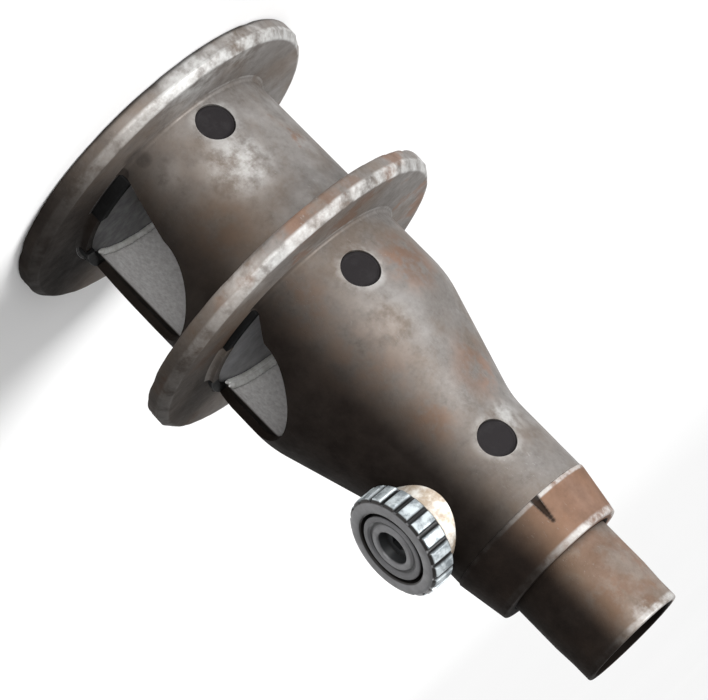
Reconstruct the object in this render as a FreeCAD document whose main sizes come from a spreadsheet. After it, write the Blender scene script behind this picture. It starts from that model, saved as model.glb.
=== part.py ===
import FreeCAD, Part
import math
import os
import Sketcher

# Flanged coupling housing with a telescoping nose, a clamping knob and a flexible beam element.
# The coupling's axis is Z: the rear flange's outer face is at Z = 0 and the nose opens at the top.
# The windows and the knob face +X and the three plugged access holes face -Y. Millimetres.

doc = FreeCAD.newDocument("beam_coupling")
sheet = doc.addObject("Spreadsheet::Sheet", "Sizes")

SIZES = {
    # flanges and housing
    "flange_rad": 45, "flange_thick": 6, "flange_edge": 1.5,
    "tube_rad": 30, "tube_bore": 28,
    "mid_z": 46, "cone_z": 73, "cone_top": 105.5,
    "neck_rad": 20.2, "neck_bore": 18, "neck_end": 128.8,
    "cone_bore_z": 73.5, "cone_bore_top": 99,
    # rear end plate, its seat in the flange and its screws
    "seat_rad": 31, "seat_z": 2.5, "lip_rad": 24.5, "plate_back": 2.5,
    "screw_ring": 27.8, "screw_rad": 1.5, "screw_head": 2.8, "screw_long": 4.6, "head_deep": 1.3,
    # windows, with the notches for the lock keys in their sills
    "window_rad": 16.2, "window_foot": 19.8,
    "rear_arc_z": 24.8, "rear_sill": 2.5, "front_arc_z": 59.4, "front_sill": 1.6,
    "key_near": 7.8, "key_far": 19.5, "key_floor": 0.5, "rear_key": 3.3, "mid_key": 1.5,
    # weld beads inside each chamber: width, waist and height of one run, height of the last toe
    "bead_wide": 1.2, "bead_waist": 0.66, "bead_high": 0.96, "bead_toe": 0.36,
    "bead_start": 45, "bead_sweep": 270,
    # access holes
    "hole_rad": 5, "hole_first": 12.5, "hole_pitch": 50, "plug_long": 2.2, "plug_sunk": 0.7,
    # lock on the neck
    "lock_z": 113.5, "boss_rad": 10.8, "boss_foot": 9, "boss_top": 22.2,
    "plug_rad": 7.6, "plug_in": 17,
    "insert_rad": 6.2, "thread_rad": 4, "running": 0.05,
    "knob_back": 22.6, "knob_face": 30.3, "knob_rad": 13.9, "knob_edge": 0.8,
    "rim_rad": 13, "rim_bore": 9.7, "rim_floor": 24.6,
    "knurl_wide": 1.05, "knurl_out": 1, "knurl_count": 20,
    "hub_rad": 9, "hub_face": 30, "hub_ledge": 7.6, "hub_dish": 6.6, "hub_ring": 4.6,
    "hub_step": 0.6, "screw_tip": 16.7, "screw_top": 27.4, "hex_rad": 2.3, "hex_deep": 3,
    "pad_face": 14.9, "pad_back": 16.4, "pad_rad": 3.2,
    "pad_pin": 1.2, "pad_pin_end": 19, "pad_hole": 1.3, "pad_hole_end": 19.4,
    # collar, nose and nose guides
    "nose_rad": 14.6, "nose_bore": 12.2, "nose_start": 90, "nose_end": 167, "nose_edge": 0.5,
    "nose_seat": 14.3, "nose_seat_z": 160,
    "collar_big": 20.5, "collar_small": 18.2, "collar_end": 142.4, "collar_tail": 120.2,
    "collar_edge": 0.4, "slide_play": 0.1, "seal_z": 137.1, "seal_rad": 0.95,
    "notch_rad": 1.3, "notch_tip": 0.05, "notch_long": 8, "notch_out": 0.3, "notch_low": 0.1,
    "guide_start": 100, "guide_end": 106.5, "pin_rad": 1.5, "guide_pin_z": 103.2, "pin_in": 13.5,
    "keyway_wide": 3.2, "keyway_floor": 13.1, "keyway_start": 92, "keyway_end": 117,
    "collar_pin_z": 124.5, "collar_pin_in": 15.6, "pin_sunk": 0.2,
    "nose_bush_start": 132, "nose_bush_end": 146,
    # drive line
    "shaft_rad": 5, "shaft_start": 28, "shaft_end": 161, "shaft_edge": 0.6,
    "end_rad": 4, "end_z": 148, "flat_deep": 0.8,
    "beam_rad": 8, "beam_start": 3, "beam_end": 40, "beam_web": 3.5, "beam_bore_end": 15,
    "slot_start": 16.8, "slot_high": 9.6, "slot_pitch": 3.2, "slot_thick": 0.8, "slot_over": 0.5,
    "grub_rad": 1.5, "grub_long": 2.6, "grub_rear": 12.5, "grub_front": 34, "grub_hex": 0.8,
    "bush_rad": 10.5, "bush_end": 8,
    "mid_bush_rad": 9, "washer_rad": 8.5, "washer_thick": 1, "end_play": 0.2,
    "clip_rad": 7.3, "clip_seat": 4.6, "clip_thick": 1,
}
SCREW_COUNT = 6
NOTCH_TURN = -77
LEAST_CUT = 1
ZERO = 1e-9

for row, (alias, value) in enumerate(SIZES.items(), start=1):
    sheet.set(f"A{row}", alias)
    sheet.set(f"B{row}", str(value))
    sheet.setAlias(f"B{row}", alias)
doc.recompute()

TO_X = FreeCAD.Rotation(FreeCAD.Vector(0, 1, 0), 90)
TO_BACK = FreeCAD.Rotation(FreeCAD.Vector(0, 1, 0), -90)
TO_HOLES = FreeCAD.Rotation(FreeCAD.Vector(1, 0, 0), 90)
UPRIGHT = FreeCAD.Rotation()
nodes = []


# ---------------------------------------------------------------- expressions and naming

def bound(text):
    """The expression with every alias looked up in the sheet."""
    finished = ""
    word = ""
    for letter in str(text) + " ":
        if letter.isalpha() or letter == "_":
            word += letter
            continue
        finished += f"Sizes.{word}" if word in SIZES else word
        finished += letter
        word = ""
    return finished.strip()


def amount(text):
    """The expression's present value."""
    return float(sheet.evalExpression(bound(text)))


def keep(item, label):
    """Names a finished sub-part and adds it to those that are written."""
    item.Label = label
    nodes.append(item)
    return item


def place(item, rotation=UPRIGHT, along_x="0", along_y="0", along_z="0"):
    """Turns an object and ties its position to expressions."""
    item.Placement = FreeCAD.Placement(FreeCAD.Vector(), rotation)
    for axis, text in (("x", along_x), ("y", along_y), ("z", along_z)):
        item.setExpression(f"Placement.Base.{axis}", bound(text))
    return item


# ---------------------------------------------------------------- primitives and booleans

def rod(name, radius, length):
    """A cylinder along its own Z."""
    item = doc.addObject("Part::Cylinder", name)
    item.setExpression("Radius", bound(radius))
    item.setExpression("Height", bound(length))
    return item


def taper(name, start_radius, end_radius, length):
    """A cone along its own Z."""
    item = doc.addObject("Part::Cone", name)
    item.setExpression("Radius1", bound(start_radius))
    item.setExpression("Radius2", bound(end_radius))
    item.setExpression("Height", bound(length))
    return item


def block(name, length, width, height):
    """A box from its own origin."""
    item = doc.addObject("Part::Box", name)
    item.setExpression("Length", bound(length))
    item.setExpression("Width", bound(width))
    item.setExpression("Height", bound(height))
    return item


def hexagon(name, radius, height):
    """A six-sided prism along its own Z."""
    item = doc.addObject("Part::Prism", name)
    item.Polygon = 6
    item.setExpression("Circumradius", bound(radius))
    item.setExpression("Height", bound(height))
    return item


def cut(name, base, tool):
    """The base without the tool."""
    item = doc.addObject("Part::Cut", name)
    item.Base = base
    item.Tool = tool
    return item


def common(name, base, tool):
    """What the base and the tool share."""
    item = doc.addObject("Part::Common", name)
    item.Base = base
    item.Tool = tool
    return item


def join(name, pieces):
    """Several solids in one object; those that touch are fused."""
    item = doc.addObject("Part::MultiFuse", name)
    item.Shapes = pieces
    return item


# ---------------------------------------------------------------- bodies from sketches

def plane(body, role):
    """One of the body's own origin planes."""
    return next(item for item in body.Origin.OriginFeatures if item.Role == role)


def new_sketch(body, role, name):
    """A sketch on one of the body's origin planes."""
    sketch = body.newObject("Sketcher::SketchObject", name)
    sketch.AttachmentSupport = [(plane(body, role), "")]
    sketch.MapMode = "FlatFace"
    return sketch


def tie(sketch, kind, geometry, end, text):
    """Ties one coordinate of a point of the sketch to an expression."""
    value = amount(text)
    if abs(value) < ZERO:
        axis = -2 if kind == "DistanceX" else -1
        sketch.addConstraint(Sketcher.Constraint("PointOnObject", geometry, end, axis))
        return
    index = sketch.addConstraint(Sketcher.Constraint(kind, -1, 1, geometry, end, value))
    sketch.setExpression(f"Constraints[{index}]", bound(text))


def pin_down(sketch, geometry, end, across, up):
    """Ties a point of the sketch to a pair of expressions."""
    tie(sketch, "DistanceX", geometry, end, across)
    tie(sketch, "DistanceY", geometry, end, up)


def draw(sketch, corners, arch=None):
    """A closed outline through pairs of expressions, with one side a half circle if arch names it."""
    points = [FreeCAD.Vector(amount(across), amount(up), 0) for across, up in corners]
    following = points[1:] + points[:1]
    for index, (start, end) in enumerate(zip(points, following)):
        if index == arch:
            circle = Part.Circle((start + end) / 2, FreeCAD.Vector(0, 0, 1), (start - end).Length / 2)
            sketch.addGeometry(Part.ArcOfCircle(circle, 0, math.pi), False)
        else:
            sketch.addGeometry(Part.LineSegment(start, end), False)
    for index, (across, up) in enumerate(corners):
        sketch.addConstraint(Sketcher.Constraint("Coincident", index - 1 if index else len(points) - 1,
                                                 2, index, 1))
        pin_down(sketch, index, 1, across, up)
    if arch is not None:
        tie(sketch, "DistanceY", arch, 3, corners[arch][1])
    return sketch


def turned(name, corners, sweep=None):
    """A body turned about its own Z from a half section of (radius, height) expressions."""
    body = doc.addObject("PartDesign::Body", name)
    section = draw(new_sketch(body, "XZ_Plane", name + "_section"), corners)
    turn = body.newObject("PartDesign::Revolution", name + "_turn")
    turn.Profile = section
    turn.ReferenceAxis = (section, ["V_Axis"])
    turn.Angle = 360
    if sweep:
        turn.setExpression("Angle", bound(sweep))
    section.Visibility = False
    doc.recompute()
    return body


def ring(name, inner, outer, low, high):
    """A body with a plain rectangular section."""
    return turned(name, [(inner, low), (outer, low), (outer, high), (inner, high)])


def pocketed(body, sketch, reach, other_side=False):
    """Cuts the sketch out of one side of the body, the sketch normal's side unless told, and checks it."""
    doc.recompute()
    before = body.Shape.Volume
    pocket = body.newObject("PartDesign::Pocket", sketch.Name + "_pocket")
    pocket.Profile = sketch
    pocket.setExpression("Length", bound(reach))
    pocket.Reversed = not other_side
    sketch.Visibility = False
    doc.recompute()
    if body.Shape.Volume > before - LEAST_CUT:
        raise RuntimeError(f"{pocket.Name} cuts nothing")
    return pocket


def round_hole(body, role, name, radius, height, reach, other_side=False):
    """A round hole from the axis out through one side of a body, at a height."""
    sketch = new_sketch(body, role, name)
    circle = Part.Circle(FreeCAD.Vector(0, amount(height), 0), FreeCAD.Vector(0, 0, 1), amount(radius))
    sketch.addGeometry(circle, False)
    pin_down(sketch, 0, 3, "0", height)
    index = sketch.addConstraint(Sketcher.Constraint("Radius", 0, amount(radius)))
    sketch.setExpression(f"Constraints[{index}]", bound(radius))
    return pocketed(body, sketch, reach, other_side)


def window(body, name, base, sill, arc_z):
    """An arched opening towards +X, its sill notched at both ends for the lock keys."""
    sketch = new_sketch(body, "YZ_Plane", name)
    floor = f"{base} + key_floor"
    right = [("key_near", f"{base} + {sill}"), ("key_near", floor), ("key_far", floor),
             ("window_foot", f"{base} + {sill}"), ("window_rad", arc_z)]
    left = [("-" + across, up) for across, up in reversed(right)]
    draw(sketch, right + left, arch=len(right) - 1)
    return pocketed(body, sketch, "flange_rad")


# ---------------------------------------------------------------- flanges and end plate

def flange_section(low, high, bore_steps):
    """A flange's half section with both outer edges broken."""
    return bore_steps + [
        ("flange_rad - flange_edge", low), ("flange_rad", f"{low} + flange_edge"),
        ("flange_rad", f"{high} - flange_edge"), ("flange_rad - flange_edge", high),
    ]


def rear_screws():
    """Countersunk screws through the rear flange's lip into the end plate."""
    pieces = []
    for index in range(SCREW_COUNT):
        angle = math.radians(360 * (index + 0.5) / SCREW_COUNT)
        where = (f"screw_ring * {math.cos(angle):.6f}", f"screw_ring * {math.sin(angle):.6f}")
        shank = place(rod(f"screw_shank_{index}", "screw_rad", "screw_long"), UPRIGHT, *where)
        head = place(taper(f"screw_head_{index}", "screw_head", "screw_rad", "head_deep"), UPRIGHT, *where)
        pieces += [shank, head]
    return keep(join("RearScrews", pieces), "rear_screws")


def rear_flange(screws):
    """The flange ring, stepped inside for the end plate."""
    steps = [("seat_rad", "flange_thick"), ("seat_rad", "seat_z"), ("lip_rad", "seat_z"), ("lip_rad", "0")]
    blank = turned("RearFlangeBlank", flange_section("0", "flange_thick", steps))
    keep(cut("RearFlange", blank, screws), "rear_flange")


def rear_end_plate(screws):
    """The disc that closes the rear chamber and carries the rear bush."""
    blank = ring("EndPlateBlank", "bush_rad", "seat_rad", "plate_back", "flange_thick")
    keep(cut("EndPlate", blank, screws), "rear_end_plate")


def mid_flange():
    """The flange between the two chambers, bored for the middle bush."""
    top = "mid_z + flange_thick"
    steps = [("mid_bush_rad", top), ("mid_bush_rad", "mid_z")]
    keep(turned("MidFlange", flange_section("mid_z", top, steps)), "mid_flange")


# ---------------------------------------------------------------- shells, keys and welds

def rear_sleeve():
    """The rear tube, with its window and its access hole."""
    body = keep(ring("RearSleeve", "tube_bore", "tube_rad", "flange_thick", "mid_z"), "rear_sleeve")
    window(body, "RearWindow", "flange_thick", "rear_sill", "rear_arc_z")
    round_hole(body, "XZ_Plane", "RearAccess", "hole_rad", "hole_first", "flange_rad")


def front_shell():
    """Front tube, cone and neck in one shell, with its window, access holes and lock hole."""
    low = "mid_z + flange_thick"
    body = keep(turned("FrontShell", [
        ("tube_bore", low), ("tube_rad", low), ("tube_rad", "cone_z"), ("neck_rad", "cone_top"),
        ("neck_rad", "neck_end"), ("neck_bore", "neck_end"), ("neck_bore", "cone_bore_top"),
        ("tube_bore", "cone_bore_z"),
    ]), "front_shell")
    window(body, "FrontWindow", low, "front_sill", "front_arc_z")
    round_hole(body, "XZ_Plane", "MidAccess", "hole_rad", "hole_first + hole_pitch", "flange_rad")
    round_hole(body, "XZ_Plane", "NeckAccess", "hole_rad", "hole_first + 2 * hole_pitch", "flange_rad")
    round_hole(body, "YZ_Plane", "LockHole", "plug_rad", "lock_z", "flange_rad")
    round_hole(body, "YZ_Plane", "CollarPinHole", "pin_rad", "collar_pin_z", "flange_rad", other_side=True)


def lock_keys(label, base, top):
    """Two curved keys that stand in the notches in a window's sill."""
    band = ring(label + "_band", "tube_bore", "tube_rad", "key_floor", top)
    place(band, along_z=base)
    bars = []
    for side, start in (("right", "key_near"), ("left", "-key_far")):
        bar = block(f"{label}_{side}", "flange_rad", "key_far - key_near", top)
        bars.append(place(bar, UPRIGHT, "0", start, base))
    keep(common(label + "_pair", band, join(label + "_bars", bars)), label)


def weld_bead(label, base, runs):
    """A bead in a chamber's inner corner, open at the window, laid in one or two runs."""
    corners = [("tube_bore", "0")]
    for run in range(runs):
        corners.append(("tube_bore - bead_wide", f"{run} * bead_high"))
        corners.append(("tube_bore - bead_waist", f"{run + 1} * bead_high"))
    corners.append(("tube_bore", f"{runs} * bead_high + bead_toe"))
    bead = turned(label + "_run", corners[::-1], sweep="bead_sweep")
    place(bead, FreeCAD.Rotation(FreeCAD.Vector(0, 0, 1), amount("bead_start")), along_z=base)
    keep(bead, label)


def access_plugs():
    """Plugs that close the three access holes."""
    pieces = []
    for index, wall in enumerate(("tube_rad", "tube_rad", "neck_rad")):
        plug = rod(f"plug_{index}", "hole_rad", "plug_long")
        place(plug, TO_HOLES, "0", f"-({wall} - plug_sunk - plug_long)", f"hole_first + {index} * hole_pitch")
        pieces.append(plug)
    keep(join("AccessPlugs", pieces), "access_plugs")


# ---------------------------------------------------------------- lock

def lock_boss():
    """The saddle boss on the neck and the cone's foot, with a plug through the neck's wall."""
    saddle = place(rod("boss_saddle", "boss_rad", "boss_top - boss_foot"), TO_X, "boss_foot", "0", "lock_z")
    neck = rod("boss_neck", "neck_rad", "neck_end")
    cone = place(taper("boss_cone", "tube_rad", "neck_rad", "cone_top - cone_z"), along_z="cone_z")
    outside = cut("boss_seat", saddle, join("boss_shell", [neck, cone]))
    plug = place(rod("boss_plug", "plug_rad", "boss_top - boss_foot"), TO_X, "boss_foot", "0", "lock_z")
    inside = cut("boss_wall", plug, rod("boss_room", "neck_bore", "neck_end"))
    bore = place(rod("boss_bore", "insert_rad", "boss_top"), TO_X, "boss_foot", "0", "lock_z")
    keep(cut("LockBoss", join("boss_solid", [outside, inside]), bore), "lock_boss")


def on_lock_axis(item):
    """Moves a piece that was made along Z onto the lock's axis."""
    return place(item, TO_X, along_z="lock_z")


def thread_insert():
    """The threaded bush in the boss."""
    insert = ring("ThreadInsert", "thread_rad + running", "insert_rad", "plug_in", "boss_top")
    keep(on_lock_axis(insert), "thread_insert")


def lock_screw():
    """The screw, with a hexagon socket and a hole for the pad's pin."""
    blank = turned("LockScrewBlank", [
        ("pad_hole", "screw_tip"), ("thread_rad", "screw_tip"), ("thread_rad", "screw_top"),
        ("0", "screw_top"), ("0", "pad_hole_end"), ("pad_hole", "pad_hole_end"),
    ])
    socket = place(hexagon("lock_socket", "hex_rad", "hex_deep"), along_z="screw_top - hex_deep")
    keep(on_lock_axis(cut("LockScrew", blank, socket)), "lock_screw")


def swivel_pad():
    """The pad that bears on the nose, pinned loosely into the screw."""
    pad = turned("SwivelPad", [
        ("0", "pad_face"), ("pad_rad", "pad_face"), ("pad_rad", "pad_back"),
        ("pad_pin", "pad_back"), ("pad_pin", "pad_pin_end"), ("0", "pad_pin_end"),
    ])
    keep(on_lock_axis(pad), "swivel_pad")


def knob_rim():
    """The knurled rim, with its web."""
    body = turned("KnobRim", [
        ("thread_rad", "knob_back"), ("knob_rad - knob_edge", "knob_back"),
        ("knob_rad", "knob_back + knob_edge"), ("knob_rad", "knob_face - knob_edge"),
        ("rim_rad", "knob_face"), ("rim_bore", "knob_face"), ("rim_bore", "rim_floor"),
        ("thread_rad", "rim_floor"),
    ])
    groove = draw(new_sketch(body, "XY_Plane", "Knurl"), [
        ("rim_rad", "-knurl_wide / 2"), ("knob_rad + knurl_out", "-knurl_wide / 2"),
        ("knob_rad + knurl_out", "knurl_wide / 2"), ("rim_rad", "knurl_wide / 2"),
    ])
    first = pocketed(body, groove, "knob_face")
    knurl = body.newObject("PartDesign::PolarPattern", "KnurlPattern")
    knurl.Originals = [first]
    knurl.Axis = (groove, ["N_Axis"])
    knurl.Angle = 360
    knurl.setExpression("Occurrences", bound("knurl_count"))
    body.Tip = knurl
    keep(on_lock_axis(body), "knob_rim")


def knob_hub():
    """The stepped disc in the knob's face."""
    hub = turned("KnobHub", [
        ("thread_rad", "rim_floor"), ("hub_rad", "rim_floor"), ("hub_rad", "hub_face"),
        ("hub_ledge", "hub_face"), ("hub_ledge - hub_step", "hub_face - hub_step"),
        ("hub_dish", "hub_face - hub_step"), ("hub_dish - hub_step", "hub_face"),
        ("hub_ring", "hub_face"), ("thread_rad", "screw_top"),
    ])
    keep(on_lock_axis(hub), "knob_hub")


# ---------------------------------------------------------------- collar and nose

def radial_pin(name, radius, inner, outer, height):
    """A pin along -X at a height."""
    return place(rod(name, radius, f"{outer} - {inner}"), TO_BACK, f"-({inner})", "0", height)


def front_collar():
    """The tapered collar on the neck's end, notched for alignment, with a seal groove."""
    play = "nose_rad + slide_play"
    groove = f"{play} + 2 * seal_rad"
    blank = turned("CollarBlank", [
        (play, "collar_tail"), ("neck_bore", "collar_tail"), ("neck_bore", "neck_end"),
        ("collar_big - collar_edge", "neck_end"), ("collar_big", "neck_end + collar_edge"),
        ("collar_small", "collar_end - collar_edge"), ("collar_small - collar_edge", "collar_end"),
        (play, "collar_end"), (play, "seal_z + seal_rad"), (groove, "seal_z + seal_rad"),
        (groove, "seal_z - seal_rad"), (play, "seal_z - seal_rad"),
    ])
    lean = math.degrees(math.atan2(amount("collar_big - collar_small"), amount("collar_end - neck_end")))
    notch = taper("collar_notch", "notch_rad", "notch_tip", "notch_long")
    turn = FreeCAD.Rotation(FreeCAD.Vector(0, 0, 1), NOTCH_TURN)
    around = math.radians(NOTCH_TURN)
    place(notch, turn.multiply(FreeCAD.Rotation(FreeCAD.Vector(0, 1, 0), -lean)),
          f"(collar_big + notch_out) * {math.cos(around):.6f}",
          f"(collar_big + notch_out) * {math.sin(around):.6f}", "neck_end - notch_low")
    pin_hole = radial_pin("collar_pin_hole", "pin_rad", "nose_rad", "neck_rad", "collar_pin_z")
    tools = join("collar_tools", [notch, pin_hole])
    keep(cut("FrontCollar", blank, tools), "front_collar")


def collar_pin():
    """The pin that holds the collar in the neck."""
    outer = "neck_rad - pin_sunk"
    keep(radial_pin("CollarPin", "pin_rad", "collar_pin_in", outer, "collar_pin_z"), "collar_pin")


def nose_seal():
    """The O-ring in the collar's groove."""
    seal = doc.addObject("Part::Torus", "NoseSeal")
    seal.setExpression("Radius1", bound("nose_rad + slide_play + seal_rad"))
    seal.setExpression("Radius2", bound("seal_rad"))
    keep(place(seal, along_z="seal_z"), "nose_seal")


def nose_tube():
    """The sliding nose, with a keyway along its back and a seat ground on its free end."""
    blank = turned("NoseBlank", [
        ("nose_bore", "nose_start"), ("nose_rad", "nose_start"), ("nose_rad", "nose_seat_z"),
        ("nose_seat", "nose_seat_z"), ("nose_seat", "nose_end - nose_edge"),
        ("nose_seat - nose_edge", "nose_end"), ("nose_bore + nose_edge", "nose_end"),
        ("nose_bore", "nose_end - nose_edge"),
    ])
    slot = block("nose_keyway", "nose_rad", "keyway_wide", "keyway_end - keyway_start")
    place(slot, UPRIGHT, "-keyway_floor - nose_rad", "-keyway_wide / 2", "keyway_start")
    keep(cut("NoseTube", blank, slot), "nose_tube")


def guide_ring():
    """The bush inside the neck that guides the nose's inner end."""
    blank = ring("GuideBlank", "nose_rad + slide_play", "neck_bore", "guide_start", "guide_end")
    pin_hole = radial_pin("guide_pin_hole", "pin_rad", "pin_in", "neck_rad", "guide_pin_z")
    keep(cut("GuideRing", blank, pin_hole), "guide_ring")


def guide_pin():
    """The pin in the guide ring that runs in the nose's keyway."""
    keep(radial_pin("GuidePin", "pin_rad", "pin_in", "neck_bore - pin_sunk", "guide_pin_z"), "guide_pin")


def nose_bush():
    """The bush that centres the shaft in the nose."""
    bore = "shaft_rad + running"
    keep(ring("NoseBush", bore, "nose_bore", "nose_bush_start", "nose_bush_end"), "nose_bush")


# ---------------------------------------------------------------- drive line

def clip_heights():
    """Where each retaining ring starts: below and above the middle bush."""
    return ("mid_z - 2 * end_play - washer_thick - clip_thick",
            "mid_z + flange_thick + 2 * end_play + washer_thick")


def output_shaft():
    """The shaft from the beam element to the nose, grooved for its rings, with a flatted end."""
    low, high = clip_heights()
    blank = turned("ShaftBlank", [
        ("0", "shaft_start"), ("shaft_rad - shaft_edge", "shaft_start"),
        ("shaft_rad", "shaft_start + shaft_edge"),
        ("shaft_rad", low), ("clip_seat", low), ("clip_seat", low + " + clip_thick"),
        ("shaft_rad", low + " + clip_thick"), ("shaft_rad", high), ("clip_seat", high),
        ("clip_seat", high + " + clip_thick"), ("shaft_rad", high + " + clip_thick"),
        ("shaft_rad", "end_z"), ("end_rad", "end_z"), ("end_rad", "shaft_end - shaft_edge"),
        ("end_rad - shaft_edge", "shaft_end"), ("0", "shaft_end"),
    ])
    flat = block("shaft_flat", "2 * shaft_rad", "shaft_rad", "shaft_end - end_z")
    place(flat, UPRIGHT, "-shaft_rad", "end_rad - flat_deep", "end_z")
    keep(cut("OutputShaft", blank, flat), "output_shaft")


def shaft_clips():
    """The two retaining rings on the shaft."""
    pieces = [ring(f"clip_{index}", "clip_seat", "clip_rad", low, low + " + clip_thick")
              for index, low in enumerate(clip_heights())]
    keep(join("ShaftClips", pieces), "shaft_clips")


def thrust_washers():
    """The two washers beside the middle bush."""
    lows = ("mid_z - end_play - washer_thick", "mid_z + flange_thick + end_play")
    pieces = [ring(f"washer_{index}", "shaft_rad + 2 * running", "washer_rad", low, low + " + washer_thick")
              for index, low in enumerate(lows)]
    keep(join("ThrustWashers", pieces), "thrust_washers")


def beam_element():
    """The flexible element: two hubs joined by a helically slotted web."""
    body = turned("BeamBlank", [
        ("shaft_rad", "beam_start"), ("beam_rad", "beam_start"), ("beam_rad", "beam_end"),
        ("shaft_rad", "beam_end"), ("shaft_rad", "shaft_start"), ("beam_web", "shaft_start"),
        ("beam_web", "beam_bore_end"), ("shaft_rad", "beam_bore_end"),
    ])
    cutter = draw(new_sketch(body, "XZ_Plane", "SlotSection"), [
        ("beam_web - slot_over", "slot_start"), ("beam_rad + slot_over", "slot_start"),
        ("beam_rad + slot_over", "slot_start + slot_thick"),
        ("beam_web - slot_over", "slot_start + slot_thick"),
    ])
    doc.recompute()
    before = body.Shape.Volume
    slot = body.newObject("PartDesign::SubtractiveHelix", "BeamSlot")
    slot.Profile = cutter
    slot.ReferenceAxis = (cutter, ["V_Axis"])
    slot.setExpression("Pitch", bound("slot_pitch"))
    slot.setExpression("Height", bound("slot_high"))
    doc.recompute()
    if body.Shape.Volume > before - LEAST_CUT:
        raise RuntimeError("the beam's slot cuts nothing")
    round_hole(body, "XZ_Plane", "RearGrubHole", "grub_rad", "grub_rear", "flange_rad")
    round_hole(body, "XZ_Plane", "FrontGrubHole", "grub_rad", "grub_front", "flange_rad")
    keep(body, "beam_element")


def grub_screws():
    """The set screws in the beam element's hubs."""
    pieces = []
    for index, height in enumerate(("grub_rear", "grub_front")):
        body = place(rod(f"grub_{index}", "grub_rad", "grub_long"), TO_HOLES, "0", "-shaft_rad", height)
        socket = hexagon(f"grub_socket_{index}", "grub_hex", "grub_long / 2")
        place(socket, TO_HOLES, "0", "-shaft_rad - grub_long / 2", height)
        pieces.append(cut(f"grub_screw_{index}", body, socket))
    keep(join("GrubScrews", pieces), "grub_screws")


def bushes():
    """The plain bushes in the end plate and in the middle flange."""
    keep(ring("RearBush", "beam_rad + running", "bush_rad", "plate_back", "bush_end"), "rear_bush")
    top = "mid_z + flange_thick"
    keep(ring("MidBush", "shaft_rad + running", "mid_bush_rad", "mid_z", top), "mid_bush")


# ---------------------------------------------------------------- the whole coupling

screws = rear_screws()
rear_flange(screws)
rear_end_plate(screws)
mid_flange()
rear_sleeve()
front_shell()
lock_keys("rear_keys", "flange_thick", "rear_key")
lock_keys("mid_keys", "mid_z + flange_thick", "mid_key")
weld_bead("rear_weld", "flange_thick", 1)
weld_bead("mid_weld", "mid_z + flange_thick", 2)
access_plugs()
lock_boss()
thread_insert()
lock_screw()
swivel_pad()
knob_rim()
knob_hub()
front_collar()
collar_pin()
nose_seal()
nose_tube()
guide_ring()
guide_pin()
nose_bush()
output_shaft()
shaft_clips()
thrust_washers()
beam_element()
grub_screws()
bushes()

doc.recompute()
for item in doc.Objects:
    if "Invalid" in item.State or "Error" in item.State:
        raise RuntimeError(f"{item.Name} failed: {item.State}")
for node in nodes:
    if node.Shape.isNull() or not node.Shape.isValid():
        raise RuntimeError(f"{node.Label} has no valid shape")
os.makedirs("parts", exist_ok=True)
for node in nodes:
    node.Shape.exportStep(f"parts/{node.Label}.step")
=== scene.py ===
import math

import bmesh
import bpy
from mathutils import Matrix, Vector, noise


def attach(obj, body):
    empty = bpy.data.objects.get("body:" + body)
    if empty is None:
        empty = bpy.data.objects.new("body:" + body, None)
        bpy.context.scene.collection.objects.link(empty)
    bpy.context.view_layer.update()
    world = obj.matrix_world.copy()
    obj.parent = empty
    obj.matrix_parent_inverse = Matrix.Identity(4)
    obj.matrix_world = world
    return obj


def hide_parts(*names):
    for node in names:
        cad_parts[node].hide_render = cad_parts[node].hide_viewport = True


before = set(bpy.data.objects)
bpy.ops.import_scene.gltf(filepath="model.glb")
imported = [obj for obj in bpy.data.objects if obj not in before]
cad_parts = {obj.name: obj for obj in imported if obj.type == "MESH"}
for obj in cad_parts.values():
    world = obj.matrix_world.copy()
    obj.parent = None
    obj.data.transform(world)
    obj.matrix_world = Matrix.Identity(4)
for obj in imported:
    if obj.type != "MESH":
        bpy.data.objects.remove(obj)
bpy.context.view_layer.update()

# Weathered steel coupling housing: flanges, windowed tube, cone, knurled knob, collar and nose.
# The row frame is in metres with the coupling's axis along Z. Outlines below are in millimetres.

MM = 0.001
SEGMENTS, FINE_SEGMENTS = 192, 288
ARC_STEPS = 5
SHARP = math.radians(32)
SAME_POINT, SAME_PLACE = 0.002, 0.02
LONGEST_FILLET = 0.48

FLANGE, FLANGE_THICK, MID_Z, MID_BORE = 45.0, 6.0, 46.0, 9.0
MID_TOP = MID_Z + FLANGE_THICK
RIM_TOP, RIM_DROP, RIM_WEAR_START, RIM_DENT = 43.4, 1.8, 42.0, 0.6
SEAT, SEAT_FLOOR, RECESS, PLATE_BORE = 31.0, 2.5, 24.5, 10.5
TUBE, BORE, FOOT = 30.0, 28.0, 1.4
CONE_Z, CONE_TOP, NECK, NECK_BORE, NECK_END = 73.0, 105.5, 20.2, 18.0, 128.8
CONE_INSIDE_Z, CONE_INSIDE_TOP = 73.5, 99
COLLAR_START, COLLAR_END, COLLAR_BORE, COLLAR_WIDE, COLLAR_NARROW = 120.2, 142.4, 14.7, 20.5, 18.2
NOSE_START, NOSE_TAPER, NOSE_END, NOSE, NOSE_TIP, NOSE_BORE = 90.0, 156.0, 167.0, 14.6, 14.3, 12.2
LOCK_Z, LOCK_HOLE, BOSS_BORE = 113.5, 7.6, 6.2
HOLE_HEIGHTS = (12.5, 62.5, 112.5)
HOLE_WALLS = (TUBE, TUBE, NECK)
HOLE_RADIUS = 5.0
REAR_SILL, MID_SILL = 2.5, 1.6
REAR_ARCH_Z, MID_ARCH_Z = 24.8, 59.4
NOTCH_NEAR, NOTCH_FAR, NOTCH_DROP, ARCH = 7.8, 19.7, 0.5, 16.2
REAR_KEY_TOP, MID_KEY_TOP = 9.3, 53.5
V_TURN, V_LENGTH, V_WIDTH = -77, 9.5, 1.2

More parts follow.
